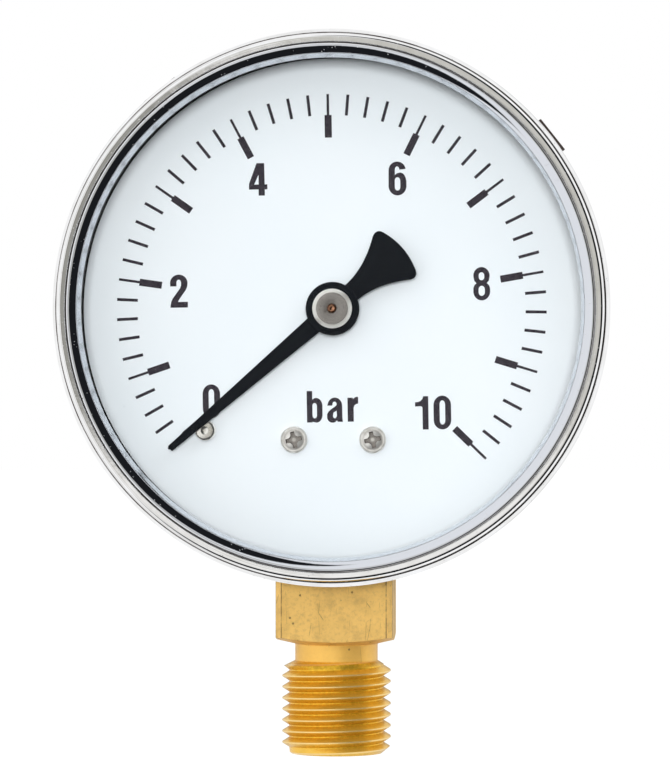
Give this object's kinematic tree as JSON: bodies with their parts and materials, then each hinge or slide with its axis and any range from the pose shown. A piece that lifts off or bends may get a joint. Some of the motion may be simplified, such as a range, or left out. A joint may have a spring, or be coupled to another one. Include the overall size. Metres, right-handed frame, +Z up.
{
  "type": "pressure gauge",
  "caption": "Round dial pressure gauge with chrome ring, bottom threaded stem, and a working Bourdon tube movement that turns the pointer.",
  "frame": {"origin": "centre of the stem's end face, on the stem axis", "axes": "+Z up the stem towards the dial, -Y out of the dial face, +X to the right when reading the dial"},
  "size_m": [0.0658, 0.0279, 0.0865],
  "materials": {
    "case_plastic": "satin black moulding",
    "ring_chrome": "polished plating",
    "glass_clear": "clear flat glass",
    "rubber_black": "matt",
    "dial_white": "white lacquer, black print",
    "nickel": "bright nickel-plated steel",
    "pointer_black": "matt black",
    "bronze": "turned bronze, coppery",
    "brass_turned": "turned and milled, lightly marked",
    "brass_plate": "stamped brass sheet",
    "spring_bronze": "drawn phosphor bronze"
  },
  "bodies": {
    "frame": {"case": "case_plastic", "bezel_ring": "ring_chrome", "window": "glass_clear", "window_gasket": "rubber_black", "dial": "dial_white", "dial_screws": "nickel", "stop_pin": "nickel", "hairspring": "spring_bronze", "hairspring_stud": "brass_turned", "front_plate": "brass_plate", "back_plate": "brass_plate", "plate_pillars": "brass_turned", "plate_screws": "nickel", "movement_screws": "nickel", "bourdon_tube": "spring_bronze", "socket": "brass_turned", "dial_posts": "brass_turned", "case_screws": "nickel", "throttle_screw": "brass_turned", "blow_out_plug": "rubber_black"},
    "pointer_group": {"pointer": "pointer_black", "pointer_bush": "nickel", "pinion_arbor": "bronze", "hairspring_collet": "brass_turned"},
    "sector_group": {"sector_gear": "brass_plate", "sector_arbor": "nickel", "link_pin": "nickel"},
    "link_bar": {"link": "nickel"},
    "tip_group": {"tube_tip": "brass_turned", "tip_pin": "nickel"}
  },
  "joints": [
    {"name": "sector_turn", "type": "hinge", "parent": "frame", "child": "sector_group", "pos_m": [0.0095, -0.0029, 0.04199], "axis": [0, 1, 0], "range_deg": [-29.39, 0], "stiffness_Nm_per_rad": 0.02, "springref_deg": 1.15},
    {"name": "pointer_turn", "type": "hinge", "parent": "frame", "child": "pointer_group", "pos_m": [0, -0.0075, 0.0536], "axis": [0, 1, 0], "range_deg": [0, 264.5], "deforming": ["hairspring"]},
    {"name": "link_turn", "type": "hinge", "parent": "sector_group", "child": "link_bar", "pos_m": [0.01326, -0.00215, 0.0387], "axis": [0, 1, 0], "range_deg": [0, 29.4]},
    {"name": "tip_lift", "type": "hinge", "parent": "frame", "child": "tip_group", "pos_m": [-0.00331, 0.0036, 0.05996], "axis": [0, 1, 0], "range_deg": [-5.43, 0], "deforming": ["bourdon_tube"]}
  ],
  "couplings": [
    {"joint": "pointer_turn", "follows": "sector_turn", "ratio": -9},
    {"joint": "link_turn", "follows": "sector_turn", "ratio": -1},
    {"joint": "tip_lift", "follows": "sector_turn", "ratio": 0.18458}
  ]
}
